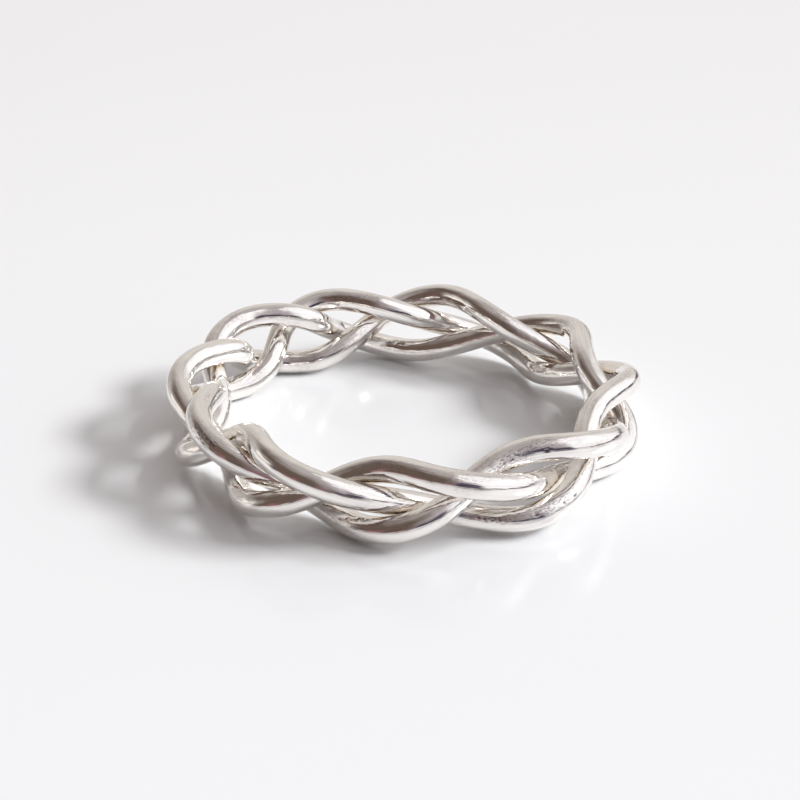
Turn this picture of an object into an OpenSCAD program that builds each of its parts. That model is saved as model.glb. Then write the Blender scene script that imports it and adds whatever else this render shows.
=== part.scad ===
// Finger ring plaited from three round silver wires, lying on its side.
// The ring's axis is Z, the lower edge of the plait rests on z = 0, and the front is at -Y.
// Ring angles are in degrees, counter-clockwise seen from above, with 0 at +X.

/* [Ring] */
// Finger hole, across, between regular crossings
finger_d = 17.3; // [14:0.1:22]
// Wire of each strand, across
wire_d = 1.25; // [0.9:0.05:1.5]
// Gap left where two strands lie closest
gap = 0.02; // [0.01:0.005:0.1]

/* [Plait] */
// Room left beside the strand that passes between an upper and a lower loop
pass_room = 0.4; // [0.2:0.05:1]
// Ring angle of the first loop of the upper edge
first_loop = -118; // [-180:1:180]
// Ring angle of the soldered joint, where the ends of the strands meet
seam = -139; // [-180:1:180]
// How soon a strand reaches its full depth after a loop, 0 is a plain wave
tuck = 0.1; // [0:0.05:0.6]

/* [Hidden] */

// Columns of the two tables of loops
TURN = 0; // degrees further round than an even spacing
RISE = 1; // wire diameters higher than a regular loop
LEAN = 2; // wire diameters further out than a regular loop

// Loops of the upper edge, round the ring from the first one
upper = [
    [-9, -0.04, 0.2],
    [-4, -0.16, 0.08],
    [-2, 0.04, 0.16],
    [4, -0.08, 0.2],
    [4, -0.08, 0.36],
    [10, 0.12, 0.12],
    [9, -0.04, 0.12],
    [1, 0.04, 0.06],
    [-2, -0.12, 0.02],
    [-3, -0.04, 0.06]
];

// Loops of the lower edge, each one between two of the upper edge
lower = [
    [-3, 0, -0.1],
    [-1, 0.04, 0.04],
    [7, 0, -0.02],
    [9, -0.04, 0.16],
    [7, 0.08, 0.32],
    [14, 0, 0.04],
    [12, -0.04, -0.08],
    [4, -0.04, -0.08],
    [3, 0, -0.08],
    [-1, 0.08, 0.06]
];

STRANDS = 3;
loops = len(upper);
pitch = 360 / loops;
// A strand runs this many loops from one edge to the other
half_run = STRANDS / 2;
wire_r = wire_d / 2;
// Height of a regular loop above or below the middle of the band
half_w = wire_d + pass_room / 2;
// The middle of the band is lifted until the lowest loop touches z = 0
middle_z = half_w + wire_r - wire_d * min([for (row = lower) row[RISE]]);

// Facets of the meshed wire
SIDES = 16;
RINGS = 12 * loops;
// Steps a loop when the plait is searched for its narrowest gap, and loops searched each way
SEARCH = 20;
REACH = 1.2;
// Range in which the depth of the plait is sought, and how often that range is halved
SHALLOWEST = wire_r;
DEEPEST = 3 * wire_r;
HALVINGS = 8;
// Corrections of a place sought along a strand
CORRECTIONS = 20;
// Step along a strand for its direction, in loops
EPS = 0.01;

// Half a cosine wave from a to b as f goes from 0 to 1
function wave(a, b, f) = a + (b - a) * (1 - cos(180 * f)) / 2;

function unit(v) = v / norm(v);

// A strand visits an upper loop, a lower loop, and so on, and skips two loops each time
function visit(i) = let(
        j = (i % (2 * loops) + 2 * loops) % (2 * loops),
        k = (STRANDS * floor(j / 2) + j % 2) % loops
    ) j % 2 == 0 ? upper[k] : lower[k];
function bight(i) = let(row = visit(i), edge = i % 2 == 0 ? half_w : -half_w)
    [row[TURN], edge + wire_d * row[RISE], wire_d * row[LEAN]];

// Ring angle of the wire's middle, u loops along it
function turn_at(u) = let(i = floor(u / half_run), f = u / half_run - i)
    first_loop + pitch * u + wave(bight(i)[TURN], bight(i + 1)[TURN], f);

// Middle of the wire, u loops along it. It swings out by depth after each loop, then in.
function path(u, depth) = let(
        i = floor(u / half_run),
        f = u / half_run - i,
        a = bight(i),
        b = bight(i + 1),
        swing = depth * sin(360 * f) * (1 + tuck * pow(cos(360 * f), 2)),
        r = finger_d / 2 + wire_r + depth + wave(a[LEAN], b[LEAN], f) + swing,
        angle = first_loop + pitch * u + wave(a[TURN], b[TURN], f)
    ) [r * cos(angle), r * sin(angle), middle_z + wave(a[RISE], b[RISE], f)];

// Least distance between the middle of the wire and its next pass, one turn on
function narrowest(depth) = let(
        n = STRANDS * loops * SEARCH,
        p = [for (i = [0 : n - 1]) path(i / SEARCH, depth)],
        far = round(REACH * SEARCH)
    ) min([for (i = [0 : n - 1], d = [-far : far]) norm(p[i] - p[(i + loops * SEARCH + d + n) % n])]);

// Least depth at which the strands clear each other, by halving the range from low to high
function least_depth(low, high, n) = n == 0 ? high : let(mid = (low + high) / 2)
    narrowest(mid) < wire_d + gap ? least_depth(mid, high, n - 1) : least_depth(low, mid, n - 1);
depth = least_depth(SHALLOWEST, DEEPEST, HALVINGS);

// Place along the wire, in loops, at which it reaches a ring angle
function reach(angle, u, n) = n == 0 ? u : reach(angle, u + (angle - turn_at(u)) / pitch, n - 1);

function heading(u) = unit(path(u + EPS, depth) - path(u - EPS, depth));

// Ring of points round the wire, square to it. A flat one is slid along it on to the seam.
function section(u, flat) = let(
        c = path(u, depth),
        t = heading(u),
        outward = unit([c[0], c[1], 0]),
        a = unit(outward - (outward * t) * t),
        b = cross(t, a),
        across = [-sin(seam), cos(seam), 0]
    ) [for (k = [0 : SIDES - 1]) let(
        angle = 360 * k / SIDES,
        p = c + wire_r * (cos(angle) * a + sin(angle) * b)
    ) flat ? p - (p * across) / (t * across) * t : p];

// One strand, once round the ring from the seam, with flat ends on it
module strand(number) {
    start = reach(seam + 360 * number, loops * number + (seam - first_loop) / pitch, CORRECTIONS);
    end = reach(seam + 360 * (number + 1), start + loops, CORRECTIONS);
    rings = [for (i = [0 : RINGS]) section(start + (end - start) * i / RINGS, i == 0 || i == RINGS)];
    walls = [for (i = [0 : RINGS - 1], k = [0 : SIDES - 1]) let(
            a = i * SIDES + k,
            b = i * SIDES + (k + 1) % SIDES
        ) each [[a, a + SIDES, b], [b, a + SIDES, b + SIDES]]];
    near_end = [for (k = [0 : SIDES - 1]) k];
    far_end = [for (k = [0 : SIDES - 1]) (RINGS + 1) * SIDES - 1 - k];
    color("silver") polyhedron([for (ring = rings) each ring], concat(walls, [near_end, far_end]), 4);
}

module strand_1() {
    strand(1);
}

module strand_2() {
    strand(2);
}

module strand_3() {
    strand(3);
}

strand_1();
strand_2();
strand_3();
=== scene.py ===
# A finger ring plaited from three round silver wires, lying on its side on a pale glazed surface.
# Sizes whose names end in Mm are in millimetres, and angles are in degrees unless a note says otherwise.
# Ring angles run counter-clockwise seen from above, with 0 at +X and the front at -90.
import math

import bpy
import numpy as np
from mathutils import Matrix, Vector
from mathutils.kdtree import KDTree


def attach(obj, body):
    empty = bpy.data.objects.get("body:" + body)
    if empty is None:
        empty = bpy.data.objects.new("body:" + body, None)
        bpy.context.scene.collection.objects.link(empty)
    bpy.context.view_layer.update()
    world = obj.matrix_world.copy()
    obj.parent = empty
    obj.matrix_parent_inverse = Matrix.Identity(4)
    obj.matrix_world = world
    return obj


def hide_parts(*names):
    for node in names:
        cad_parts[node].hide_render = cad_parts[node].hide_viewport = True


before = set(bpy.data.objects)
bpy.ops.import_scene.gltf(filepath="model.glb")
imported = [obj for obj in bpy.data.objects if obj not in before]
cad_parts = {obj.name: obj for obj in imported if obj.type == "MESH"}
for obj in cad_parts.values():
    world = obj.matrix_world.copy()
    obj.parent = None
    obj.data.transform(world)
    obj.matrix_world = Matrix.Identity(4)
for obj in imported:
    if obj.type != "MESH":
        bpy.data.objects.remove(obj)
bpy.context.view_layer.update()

mm = 0.001  # Blender works in metres
micrometre = 0.001 * mm
print("stage: packed ring loaded, nodes", sorted(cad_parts))


# Colours are picked as sRGB hex and shaded as linear
def linearColour(hexCode, brightness=1.0):
    channels = [int(hexCode[i:i + 2], 16) / 255 for i in (1, 3, 5)]
    curve = [c / 12.92 if c <= 0.04045 else ((c + 0.055) / 1.055) ** 2.4 for c in channels]
    return (*[c * brightness for c in curve], 1.0)


# Adds one node: sockets takes values or other nodes' outputs, and settings are the node's own options
def addNode(tree, kind, sockets=None, **settings):
    node = tree.nodes.new("ShaderNode" + kind)
    for name, value in settings.items():
        setattr(node, name, value)
    for name, value in (sockets or {}).items():
        if isinstance(value, bpy.types.NodeSocket):
            tree.links.new(value, node.inputs[name])
        else:
            node.inputs[name].default_value = value
    return node


camera = {
    "elevation": 24.99,
    "roll": 1.34,
    "distanceMm": 80.9,
    "targetMm": (-0.15, 0.07, 2.15),  # a little above the middle of the ring
    "lensMm": 73.7,
    "sensorMm": 36.0,
    "nearestMm": 5,  # nothing closer or further than these two is drawn
    "furthestMm": 10000,
}


# Sets the camera, and gives the matrix that takes a place in the scene into its view, both in mm
def makeCamera(c):
    data = bpy.data.cameras.new("camera")
    data.lens = c["lensMm"]
    data.sensor_width = c["sensorMm"]
    data.clip_start = c["nearestMm"] * mm
    data.clip_end = c["furthestMm"] * mm
    eye = bpy.data.objects.new("camera", data)
    bpy.context.scene.collection.objects.link(eye)
    tilt = math.radians(c["elevation"])
    back = Vector((0, -math.cos(tilt), math.sin(tilt)))
    place = Vector(c["targetMm"]) + back * c["distanceMm"]
    turn = Matrix.Rotation(math.radians(90 - c["elevation"]), 4, "X")
    roll = Matrix.Rotation(math.radians(c["roll"]), 4, "Z")
    eye.matrix_world = Matrix.Translation(place * mm) @ turn @ roll
    bpy.context.scene.camera = eye
    return np.array((Matrix.Translation(place) @ turn @ roll).inverted())


cameraView = makeCamera(camera)
print("stage: camera set")


# Directions in the studio: azimuth is a ring angle, elevation is above the floor
softbox = {"azimuth": 4, "elevation": 34, "distanceMm": 3000, "widthMm": 1200, "heightMm": 600, "watts": 91.0}
studio = {
    "room": ("#655750", 1.0),  # unlit side of the room, to the left and towards the camera
    "pale": ("#F4F4F4", 1.0),  # what the camera sees past the floor
    "cards": [
        # reach: half width and half height. fade: width of the soft border at the sides, and above and below.
        {"name": "low left wall", "azimuth": 164, "elevation": 4, "reach": (26, 20), "fade": (24, 24),
         "light": ("#BDB8B6", 1.0)},
        {"name": "back wall", "azimuth": 85, "elevation": 25, "reach": (47, 50), "fade": (70, 70),
         "light": ("#DCD7D3", 1.0)},
        {"name": "front wall", "azimuth": -45, "elevation": 22, "reach": (37, 60), "fade": (52, 70),
         "light": ("#BAB3B7", 1.0)},
        {"name": "ceiling", "azimuth": 0, "elevation": 90, "reach": (360, 24), "fade": (44, 44),
         "light": ("#B5AFAE", 1.0)},
        {"name": "window", "azimuth": 0, "elevation": 40, "reach": (51, 35), "fade": (26, 5),
         "light": ("#FCFBFF", 1.1)},
        {"name": "low lamp", "azimuth": 174, "elevation": 9, "reach": (15, 5), "fade": (8, 5),
         "light": ("#FFF8F2", 1.0)},
        {"name": "left rose cloth", "azimuth": -136, "elevation": 6, "reach": (9, 6), "fade": (8, 6),
         "light": ("#8F656A", 1.0)},
        {"name": "right rose cloth", "azimuth": -97, "elevation": 7, "reach": (8, 6), "fade": (8, 6),
         "light": ("#88666D", 1.0)},
        {"name": "indigo cloth", "azimuth": -67, "elevation": 11, "reach": (18, 11), "fade": (12, 10),
         "light": ("#4C4758", 1.0)},
        {"name": "window sill", "azimuth": -5, "elevation": 2, "reach": (75, 3), "fade": (40, 3),
         "light": ("#5E545C", 1.0)},
    ],
}


# How much of a card a direction meets, from 0 to 1: a soft-edged patch of the studio's walls
def cardMask(tree, direction, card):
    turned = addNode(tree, "VectorRotate", {"Vector": direction, "Angle": math.radians(-card["azimuth"])},
                     rotation_type="Z_AXIS")
    axes = addNode(tree, "SeparateXYZ", {"Vector": turned.outputs[0]})
    across = addNode(tree, "Math", {0: axes.outputs["Y"], 1: axes.outputs["X"]}, operation="ARCTAN2")
    height = addNode(tree, "Math", {0: axes.outputs["Z"]}, operation="ARCSINE")
    level = math.radians(card["elevation"])
    above = addNode(tree, "Math", {0: height.outputs[0], 1: level}, operation="SUBTRACT")
    masks = []
    for angle, reach, fade in zip((across, above), card["reach"], card["fade"]):
        size = addNode(tree, "Math", {0: angle.outputs[0]}, operation="ABSOLUTE")
        none, full = math.radians(reach + fade / 2), math.radians(reach - fade / 2)
        edge = addNode(tree, "MapRange", {"Value": size.outputs[0], "From Min": none, "From Max": full},
                       interpolation_type="SMOOTHSTEP")
        masks.append(edge.outputs[0])
    return addNode(tree, "Math", {0: masks[0], 1: masks[1]}, operation="MULTIPLY").outputs[0]


def makeStudio(s, box):
    world = bpy.data.worlds.new("studio")
    bpy.context.scene.world = world
    world.use_nodes = True
    tree = world.node_tree
    tree.nodes.clear()
    direction = addNode(tree, "TexCoord").outputs["Generated"]
    colour = linearColour(*s["room"])
    for card in s["cards"]:
        mask = cardMask(tree, direction, card)
        light = linearColour(*card["light"])
        layer = addNode(tree, "Mix", {"Factor": mask, 6: colour, 7: light}, data_type="RGBA")
        colour = layer.outputs[2]
    seen = addNode(tree, "LightPath").outputs["Is Camera Ray"]
    pale = addNode(tree, "Mix", {"Factor": seen, 6: colour, 7: linearColour(*s["pale"])}, data_type="RGBA")
    shade = addNode(tree, "Background", {"Color": pale.outputs[2]})
    out = addNode(tree, "OutputWorld", {"Surface": shade.outputs[0]})
    tree.nodes.active = out

    lamp = bpy.data.lights.new("softbox", "AREA")
    lamp.shape = "RECTANGLE"
    lamp.size = box["widthMm"] * mm
    lamp.size_y = box["heightMm"] * mm
    lamp.energy = box["watts"]
    light = bpy.data.objects.new("softbox", lamp)
    light.visible_camera = False
    bpy.context.scene.collection.objects.link(light)
    turn, lift = math.radians(box["azimuth"]), math.radians(box["elevation"])
    towards = Vector((math.cos(turn) * math.cos(lift), math.sin(turn) * math.cos(lift), math.sin(lift)))
    light.location = towards * box["distanceMm"] * mm
    light.rotation_euler = towards.to_track_quat("Z", "Y").to_euler()
    bpy.context.scene.view_settings.view_transform = "Standard"


makeStudio(studio, softbox)
print("stage: studio lit")


floorLook = {
    "halfWidthMm": 1600,
    "colour": "#EDEFF1",
    "roughness": 0.17,  # the ring shows in it only close to its foot
    "glassIor": 1.5,
}


# Glazed stoneware in white: a smooth clear glass coat over an even pale body, so it mirrors softly
def glazedStoneware(f):
    material = bpy.data.materials.new("glazed_white_stoneware")
    material.use_nodes = True
    shader = material.node_tree.nodes["Principled BSDF"]
    shader.inputs["Base Color"].default_value = linearColour(f["colour"])
    shader.inputs["Roughness"].default_value = f["roughness"]
    shader.inputs["IOR"].default_value = f["glassIor"]
    return material


def makeFloor(f):
    half = f["halfWidthMm"] * mm
    mesh = bpy.data.meshes.new("floor")
    corners = [(-half, -half, 0), (half, -half, 0), (half, half, 0), (-half, half, 0)]
    mesh.from_pydata(corners, [], [(0, 1, 2, 3)])
    mesh.materials.append(glazedStoneware(f))
    floor = bpy.data.objects.new("floor", mesh)
    bpy.context.scene.collection.objects.link(floor)


makeFloor(floorLook)
print("stage: floor laid")


plait = {
    "fingerMm": 17.3,  # finger hole, across, between regular crossings
    "wireMm": 1.25,  # wire of each strand, across
    "passRoomMm": 0.4,  # room beside the strand that passes between an upper and a lower loop
    "gapMm": 0.02,  # left where two strands lie closest
    "firstLoop": -118,  # ring angle of the first loop of the upper edge
    "seam": -139,  # ring angle of the soldered joint
    "tuck": 0.1,  # how soon a strand reaches its full depth after a loop
    "strands": 3,
    "sides": 60,  # facets round the wire
    "rings": 1600,  # facets along each strand
    "roomEvery": (4, 2),  # facets along and round the wire between measures of the room beside it
    "sharpAngle": 60,  # the flat ends stay crisp, and the round wire is shaded smooth
}
# Loops of each edge in their order round the ring.
# Columns: degrees further round than an even spacing, wire diameters higher, wire diameters further out.
upperLoops = [
    (-9, -0.04, 0.2), (-4, -0.16, 0.08), (-2, 0.04, 0.16), (4, -0.08, 0.2), (4, -0.08, 0.36),
    (10, 0.12, 0.12), (9, -0.04, 0.12), (1, 0.04, 0.06), (-2, -0.12, 0.02), (-3, -0.04, 0.06),
]
lowerLoops = [
    (-3, 0, -0.1), (-1, 0.04, 0.04), (7, 0, -0.02), (9, -0.04, 0.16), (7, 0.08, 0.32),
    (14, 0, 0.04), (12, -0.04, -0.08), (4, -0.04, -0.08), (3, 0, -0.08), (-1, 0.08, 0.06),
]
loops = len(upperLoops)
pitch = 360 / loops
halfRun = plait["strands"] / 2  # loops from one edge to the other
wireR = plait["wireMm"] / 2
halfWidth = plait["wireMm"] + plait["passRoomMm"] / 2
middleZ = halfWidth + wireR - plait["wireMm"] * min(row[1] for row in lowerLoops)


# The wire visits an upper loop, a lower loop, and so on, and skips two loops each time
def visitedLoops():
    rows = []
    for j in range(2 * loops):
        turn, rise, lean = (upperLoops, lowerLoops)[j % 2][(plait["strands"] * (j // 2) + j % 2) % loops]
        edge = halfWidth if j % 2 == 0 else -halfWidth
        rows.append((turn, edge + plait["wireMm"] * rise, plait["wireMm"] * lean))
    return np.array(rows)


visits = visitedLoops()


# Turn, height and lean at u loops along the wire, with the share f of the way from loop to loop
def between(u):
    i = np.floor(u / halfRun).astype(int)
    f = u / halfRun - i
    step = ((1 - np.cos(math.pi * f)) / 2)[:, None]
    a, b = visits[i % len(visits)], visits[(i + 1) % len(visits)]
    return *(a + (b - a) * step).T, f


# Middle of the wire in mm. It swings out by depth after each loop, then in by as much.
def wireMiddle(u, depth):
    turn, height, lean, f = between(u)
    swing = depth * np.sin(2 * math.pi * f) * (1 + plait["tuck"] * np.cos(2 * math.pi * f) ** 2)
    r = plait["fingerMm"] / 2 + wireR + depth + lean + swing
    angle = np.radians(plait["firstLoop"] + pitch * u + turn)
    return np.stack([r * np.cos(angle), r * np.sin(angle), middleZ + height], 1)


# Least distance from the middle of the wire to its next pass, one turn on
def narrowest(depth, steps=20, reach=1.2):
    points = wireMiddle(np.arange(plait["strands"] * loops * steps) / steps, depth)
    far = round(reach * steps)
    shifts = range(loops * steps - far, loops * steps + far + 1)
    return min(np.linalg.norm(points - np.roll(points, -shift, axis=0), axis=1).min() for shift in shifts)


# Least depth at which the strands clear each other, by halving the range
def clearDepth(low, high, halvings=8):
    for _ in range(halvings):
        middle = (low + high) / 2
        if narrowest(middle) < plait["wireMm"] + plait["gapMm"]:
            low = middle
        else:
            high = middle
    return high


depth = clearDepth(wireR, 3 * wireR)
print("stage: plait worked out, depth %.3f mm" % depth)


def unit(v):
    return v / np.linalg.norm(v, axis=-1, keepdims=True)


# Place along the wire at which it reaches a ring angle
def placeAt(angle, u):
    for _ in range(20):
        turn = between(np.array([u]))[0][0]
        u += (angle - plait["firstLoop"] - pitch * u - turn) / pitch
    return u


# Frame along the wire: its middle, direction, and the two directions across it, the first one outward
def wireFrame(u, step=0.01):
    middle = wireMiddle(u, depth)
    along = unit(wireMiddle(u + step, depth) - wireMiddle(u - step, depth))
    outward = unit(middle * (1, 1, 0))
    a = unit(outward - (outward * along).sum(1, keepdims=True) * along)
    return middle, along, a, np.cross(along, a)


relief = {
    "polishedMm": 0.005,  # metal that polishing has taken off the wire
    "waveMm": 0.006,  # how far the wire's surface strays from a true cylinder
    "wavePeriodsMm": (2.3, 3.7, 6.1),  # spacing of its slow swellings along the wire
    "waveShift": 1.7,  # radians by which each swelling is turned against the one before
    "tarnishAndShadeReachMm": 0.3,  # tarnish and painted shade stay this near to the next strand, where no cloth can reach
    "nickStretch": 1.8,  # a nick reaches this much further along the wire than round it
}
photoPixels = 800  # side of the photo, in which the places below were picked
# Worn places. at: pixel across and down the photo. reach: half length in mm along the wire, half width in
# degrees round it. grain and scratches: how strong they are there.
wornPlaces = [
    {"name": "left loop, dark side", "at": (205, 440), "reach": (1.0, 30), "grain": 1.0, "scratches": 0.3},
    {"name": "left loop, light side", "at": (210, 400), "reach": (1.3, 26), "grain": 0.3, "scratches": 0.2},
    {"name": "behind the left loop", "at": (185, 405), "reach": (0.8, 26), "grain": 0.4, "scratches": 0.4},
    {"name": "low left loop", "at": (240, 500), "reach": (0.9, 22), "grain": 0.3, "scratches": 0.8},
    {"name": "turn of the upper loop", "at": (245, 430), "reach": (0.8, 40), "grain": 0.1, "scratches": 0.5},
    {"name": "front, low dark band", "at": (335, 520), "reach": (1.3, 26), "grain": 0.5, "scratches": 0.4},
    {"name": "front, highlight start", "at": (360, 485), "reach": (0.9, 26), "grain": 0.2, "scratches": 0.6},
    {"name": "front, upper dark band", "at": (405, 465), "reach": (1.4, 26), "grain": 0.2, "scratches": 0.4},
    {"name": "front, dark band end", "at": (460, 480), "reach": (0.9, 26), "grain": 0.3, "scratches": 0.6},
    {"name": "front, low crossing", "at": (450, 515), "reach": (0.8, 24), "grain": 0.2, "scratches": 0.7},
    {"name": "right loop, grain", "at": (510, 460), "reach": (1.2, 30), "grain": 1.0, "scratches": 0.3},
    {"name": "right loop, scratches", "at": (540, 445), "reach": (0.9, 24), "grain": 0.6, "scratches": 0.4},
    {"name": "front, highlight tip", "at": (535, 480), "reach": (0.8, 24), "grain": 0.2, "scratches": 0.7},
    {"name": "low right, dark band", "at": (490, 520), "reach": (1.0, 16), "grain": 1.0, "scratches": 1.0},
    {"name": "low right, light side", "at": (555, 505), "reach": (1.3, 26), "grain": 0.7, "scratches": 0.5},
    {"name": "end of the right loop", "at": (620, 425), "reach": (0.6, 40), "grain": 0.2, "scratches": 0.9},
]
# Nicks. at: pixel across and down the photo, then the radius and the depth in mm.
nicks = [
    {"name": "right loop", "at": (547, 451), "radiusMm": 0.06, "depthMm": 0.03},
    {"name": "low right, left end", "at": (537, 515), "radiusMm": 0.06, "depthMm": 0.03},
    {"name": "low right, middle", "at": (565, 503), "radiusMm": 0.05, "depthMm": 0.03},
    {"name": "low right, right end", "at": (576, 495), "radiusMm": 0.05, "depthMm": 0.03},
]


# Slow swellings left by drawing, bending and hand polishing, from -1 to 1
def swelling(s, angle):
    total = 0
    for n, period in enumerate(relief["wavePeriodsMm"]):
        total = total + np.sin(2 * math.pi * s / period + (n + 1) * angle + relief["waveShift"] * n)
    return total / len(relief["wavePeriodsMm"])


# Tree of the wire's middle over all three turns, to measure how near the next strand is
def middleTree(steps=40):
    u = np.arange(plait["strands"] * loops * steps) / steps
    tree = KDTree(len(u))
    for n, point in enumerate(wireMiddle(u, depth)):
        tree.insert(point, n)
    tree.balance()
    return tree, len(u), steps


# Room in mm between a point of the surface and the nearest wire that isn't its own stretch
def roomBeside(points, u, neighbours=60, ownLoops=2):
    tree, count, steps = middleTree()
    rooms = np.full(len(points), 2 * wireR)  # more than tarnish and painted shade reach, where no other stretch is near
    for n, (point, place) in enumerate(zip(points, u * steps)):
        found = tree.find_n(point, neighbours)
        apart = [(abs((k - place + count / 2) % count - count / 2), d) for _, k, d in found]
        others = [d for gap, d in apart if gap > ownLoops * steps]
        if others:
            rooms[n] = min(others) - wireR
    return rooms


# Stations once round the ring from the seam: loops and mm along the wire, and the wire's frame there
def strandStations(number):
    guess = loops * number + (plait["seam"] - plait["firstLoop"]) / pitch
    start = placeAt(plait["seam"] + 360 * number, guess)
    end = placeAt(plait["seam"] + 360 * (number + 1), start + loops)
    u = np.linspace(start, end, plait["rings"] + 1)
    middle, along, a, b = wireFrame(u)
    s = np.concatenate([[0], np.cumsum(np.linalg.norm(np.diff(middle, axis=0), axis=1))])
    return u, s, middle, along, a, b


facets = 2 * math.pi * np.arange(plait["sides"]) / plait["sides"]  # angles round the wire, 0 is outward


# Points of all strands that face the camera.
# Columns: strand, mm along it, angle round it, pixel across, pixel down, mm in front of the camera.
def facingSurface():
    focal = photoPixels * camera["lensMm"] / camera["sensorMm"]
    rows = []
    for number in range(1, plait["strands"] + 1):
        _, s, middle, _, a, b = strandStations(number)
        out = np.cos(facets)[:, None] * a[:, None, :] + np.sin(facets)[:, None] * b[:, None, :]
        seen = (middle[:, None, :] + wireR * out) @ cameraView[:3, :3].T + cameraView[:3, 3]
        facing = ((out @ cameraView[:3, :3].T) * seen).sum(2) < 0
        away = -seen[..., 2]
        across = photoPixels / 2 + focal * seen[..., 0] / away
        down = photoPixels / 2 - focal * seen[..., 1] / away
        mmAlong, turn = np.broadcast_arrays(s[:, None], facets)
        columns = (np.full_like(across, number), mmAlong, turn, across, down, away)
        rows.append(np.stack(columns, 2)[facing])
    return np.concatenate(rows)


# Strand, mm along it and angle round it of the surface that the camera sees at a pixel of the photo.
# A wire behind another one loses by its distance, at so many pixels a mm.
def placeSeen(surface, pixel, nearPixels=4, pixelsPerMm=10):
    across, down, away = surface[:, 3:].T
    off = np.hypot(across - pixel[0], down - pixel[1])
    near = off < nearPixels
    if not near.any():
        raise ValueError("no wire shows at pixel %d, %d" % pixel)
    cost = off[near] + pixelsPerMm * (away[near] - away[near].min())
    return surface[near][cost.argmin(), :3]


seenSurface = facingSurface()
for mark in wornPlaces + nicks:
    mark["place"] = placeSeen(seenSurface, mark["at"])
    print("stage: mark", mark["name"], "on strand %d, %.1f mm along" % tuple(mark["place"][:2]))


# Share of a mark at each point of a strand, from 1 at its middle to near 0 at its border
def markShare(s, place, reachMm, reachAngle):
    _, placeMm, placeAngle = place
    turned = (facets - placeAngle + math.pi) % (2 * math.pi) - math.pi
    return np.exp(-((s[:, None] - placeMm) / reachMm) ** 2 - (turned / math.radians(reachAngle)) ** 2)


def makeStrand(number, material):
    rings, sides = plait["rings"], plait["sides"]
    u, s, middle, along, a, b = strandStations(number)
    hollow = relief["waveMm"] * (1 - swelling(s[:, None], facets)) / 2
    radius = wireR - relief["polishedMm"] - hollow
    dirt, grain, scratches = np.zeros_like(radius), np.zeros_like(radius), np.zeros_like(radius)
    for nick in (nick for nick in nicks if nick["place"][0] == number):
        size = nick["radiusMm"]
        share = markShare(s, nick["place"], relief["nickStretch"] * size, math.degrees(size / wireR))
        radius = radius - nick["depthMm"] * share
        dirt = np.maximum(dirt, share)
    for worn in (worn for worn in wornPlaces if worn["place"][0] == number):
        share = markShare(s, worn["place"], *worn["reach"])
        grain = np.maximum(grain, worn["grain"] * share)
        scratches = np.maximum(scratches, worn["scratches"] * share)
    out = np.cos(facets)[:, None] * a[:, None, :] + np.sin(facets)[:, None] * b[:, None, :]
    points = middle[:, None, :] + radius[:, :, None] * out

    # the two end rings slide along the wire on to the seam's plane, so that the strands meet face to face
    seam = math.radians(plait["seam"])
    across = np.array([-math.sin(seam), math.cos(seam), 0])
    for n in (0, rings):
        points[n] -= np.outer(points[n] @ across / (along[n] @ across), along[n])

    first = (np.arange(rings)[:, None] * sides + np.arange(sides)).ravel()
    second = (np.arange(rings)[:, None] * sides + (np.arange(sides) + 1) % sides).ravel()
    walls = np.stack([first, second, second + sides, first + sides], 1).tolist()
    ends = [list(range(sides - 1, -1, -1)), list(range(rings * sides, (rings + 1) * sides))]
    mesh = bpy.data.meshes.new("silver_strand_%d" % number)
    mesh.from_pydata((points.reshape(-1, 3) * mm).tolist(), [], walls + ends)
    mesh.polygons.foreach_set("use_smooth", [True] * len(walls) + [False, False])
    mesh.set_sharp_from_angle(angle=math.radians(plait["sharpAngle"]))

    # the wire laid out straight, for the patterns on it
    lengthways = np.broadcast_to(s[:, None], radius.shape)
    straight = np.stack([lengthways, radius * np.cos(facets), radius * np.sin(facets)], 2)
    wireMm = mesh.attributes.new("wireMm", "FLOAT_VECTOR", "POINT")
    wireMm.data.foreach_set("vector", straight.astype(np.float32).ravel())

    # the room is measured on a coarser net, as it changes slowly
    skipRings, skipSides = plait["roomEvery"]
    net = points[::skipRings, ::skipSides]
    rooms = roomBeside(net.reshape(-1, 3), np.repeat(u[::skipRings], net.shape[1])).reshape(net.shape[:2])
    rooms = np.repeat(np.repeat(rooms, skipRings, 0)[:rings + 1], skipSides, 1)
    # tarnish between the strands, with painted shade there: strongest where the next strand is nearest
    tarnishAndShade = np.clip(1 - rooms / relief["tarnishAndShadeReachMm"], 0, 1)
    shares = {"tarnishAndShade": tarnishAndShade, "dirt": dirt, "grain": grain, "scratches": scratches}
    for name, values in shares.items():
        attribute = mesh.attributes.new(name, "FLOAT", "POINT")
        attribute.data.foreach_set("value", values.astype(np.float32).ravel())

    mesh.materials.append(material)
    strand = bpy.data.objects.new(mesh.name, mesh)
    bpy.context.scene.collection.objects.link(strand)
    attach(strand, "root")
    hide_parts("strand_%d" % number)
    print("stage: strand", number, "swept, %.1f mm of wire" % s[-1])


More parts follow.
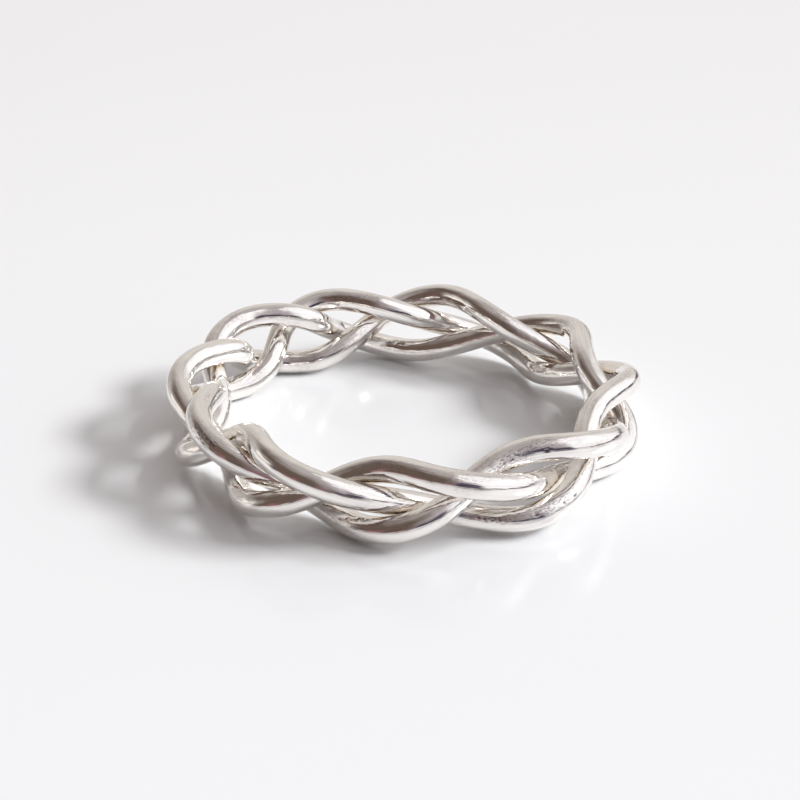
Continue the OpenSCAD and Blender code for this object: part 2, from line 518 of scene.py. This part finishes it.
silver = {
    "colour": "#FAF7F2",
    "film": "#F0EBE6",  # first breath of tarnish, a faint straw tint in patches
    "line": "#CFC9D2",  # light lost in the scratches, which look cool grey against the window
    "creviceTarnishAndShade": "#F5EADB",  # silver sulphide that the cloth can't reach, a dull warm beige, and painted shade between the strands
    "pit": "#7D737C",  # dirt in the grain of the worn places
    "dirt": "#453E44",  # dirt in the nicks
    "lineShare": 0.5,  # how strongly the lines show away from the scratched places
    "roughness": 0.06,
    "creviceRoughness": 0.22,
    "wornRoughness": 0.3,
    # Length along the wire and width across it of each pattern, in mm. Real polishing lines are finer than
    # the picture can show, so lines, ribs and grain are drawn at about 0.1 mm.
    "patternsMm": {
        "film": (2.4, 1.1),
        "waves": (1.5, 0.9),
        "lines": (2.6, 0.11),
        "ribs": (0.17, 1.0),
        "grain": (0.16, 0.07),
    },
    "noiseDetail": 2.0,
    # Where each mask lies: its pattern, the values at which it is none and full, and how strong full is.
    # everyday is the light grain away from the worn places.
    "masks": {
        "everyday": ("film", 0.5, 0.7, 0.22),
        "film": ("film", 0.5, 0.75, 1.0),
        "pit": ("grain", 0.52, 0.38, 1.0),
        "line": ("lines", 0.46, 0.3, 0.6),
    },
    # Height of each pattern in micrometres
    "heights": {"waves": 60.0, "lines": 10.0, "scratches": 13.0, "ribs": 5.0, "grain": 16.0},
}


# Sterling silver wire, drawn, plaited and polished by hand: a near mirror with fine lines along the wire,
# slow waves where the cloth bore harder, grainy worn places, and dull tarnish, fine ribs and painted shade in
# the crevices
def polishedSterlingWire(look):
    material = bpy.data.materials.new("hand_polished_sterling_wire")
    material.use_nodes = True
    tree = material.node_tree
    shader = tree.nodes["Principled BSDF"]
    shader.inputs["Metallic"].default_value = 1.0

    place = addNode(tree, "Attribute", attribute_name="wireMm").outputs["Vector"]
    share = {name: addNode(tree, "Attribute", attribute_name=name).outputs["Fac"]
             for name in ("tarnishAndShade", "dirt", "grain", "scratches")}
    noise = {}  # cloudy patterns between 0 and 1, mostly near 0.5
    for name, (alongMm, acrossMm) in look["patternsMm"].items():
        scale = (1 / alongMm, 1 / acrossMm, 1 / acrossMm)
        stretched = addNode(tree, "VectorMath", {0: place, 1: scale}, operation="MULTIPLY").outputs[0]
        cloud = addNode(tree, "TexNoise", {"Vector": stretched, "Scale": 1.0, "Detail": look["noiseDetail"]})
        noise[name] = cloud.outputs[0]

    mask = {}
    for name, (pattern, none, full, strength) in look["masks"].items():
        ramp = addNode(tree, "MapRange", {"Value": noise[pattern], "From Min": none, "From Max": full,
                                          "To Max": strength})
        mask[name] = ramp.outputs[0]

    # grain of the worn places, and a little of it in patches wherever the ring is touched
    most = addNode(tree, "Math", {0: share["grain"], 1: mask["everyday"]}, operation="MAXIMUM")
    share["grain"] = most.outputs[0]

    # height of the surface: even patterns, and those held to the worn places and the crevices
    total = 0.0
    layers = (("waves", "waves", 1.0), ("lines", "lines", 1.0), ("lines", "scratches", share["scratches"]),
              ("ribs", "ribs", share["tarnishAndShade"]), ("grain", "grain", share["grain"]))
    for pattern, height, held in layers:
        layer = addNode(tree, "Math", {0: noise[pattern], 1: look["heights"][height]}, operation="MULTIPLY")
        part = addNode(tree, "Math", {0: layer.outputs[0], 1: held}, operation="MULTIPLY")
        total = addNode(tree, "Math", {0: part.outputs[0], 1: total}, operation="ADD").outputs[0]
    bump = addNode(tree, "Bump", {"Height": total, "Distance": micrometre})
    tree.links.new(bump.outputs["Normal"], shader.inputs["Normal"])

    # colour: straw film in patches, scratches, tarnish and painted shade in the crevices, dirt in grain and
    # nicks
    pits = addNode(tree, "Math", {0: mask["pit"], 1: share["grain"]}, operation="MULTIPLY")
    scored = addNode(tree, "Mix", {0: share["scratches"], 2: look["lineShare"], 3: 1.0})
    lines = addNode(tree, "Math", {0: mask["line"], 1: scored.outputs[0]}, operation="MULTIPLY")
    colour = linearColour(look["colour"])
    tints = {"film": mask["film"], "line": lines.outputs[0], "creviceTarnishAndShade": share["tarnishAndShade"],
             "pit": pits.outputs[0], "dirt": share["dirt"]}
    for name, cover in tints.items():
        tint = linearColour(look[name])
        layer = addNode(tree, "Mix", {"Factor": cover, 6: colour, 7: tint}, data_type="RGBA")
        colour = layer.outputs[2]
    tree.links.new(colour, shader.inputs["Base Color"])

    dull = addNode(tree, "MapRange", {"Value": share["tarnishAndShade"], "To Min": look["roughness"],
                                      "To Max": look["creviceRoughness"]})
    worn = addNode(tree, "Mix", {0: share["grain"], 2: dull.outputs[0], 3: look["wornRoughness"]})
    tree.links.new(worn.outputs[0], shader.inputs["Roughness"])
    return material


sterling = polishedSterlingWire(silver)
for strandNumber in range(1, plait["strands"] + 1):
    makeStrand(strandNumber, sterling)
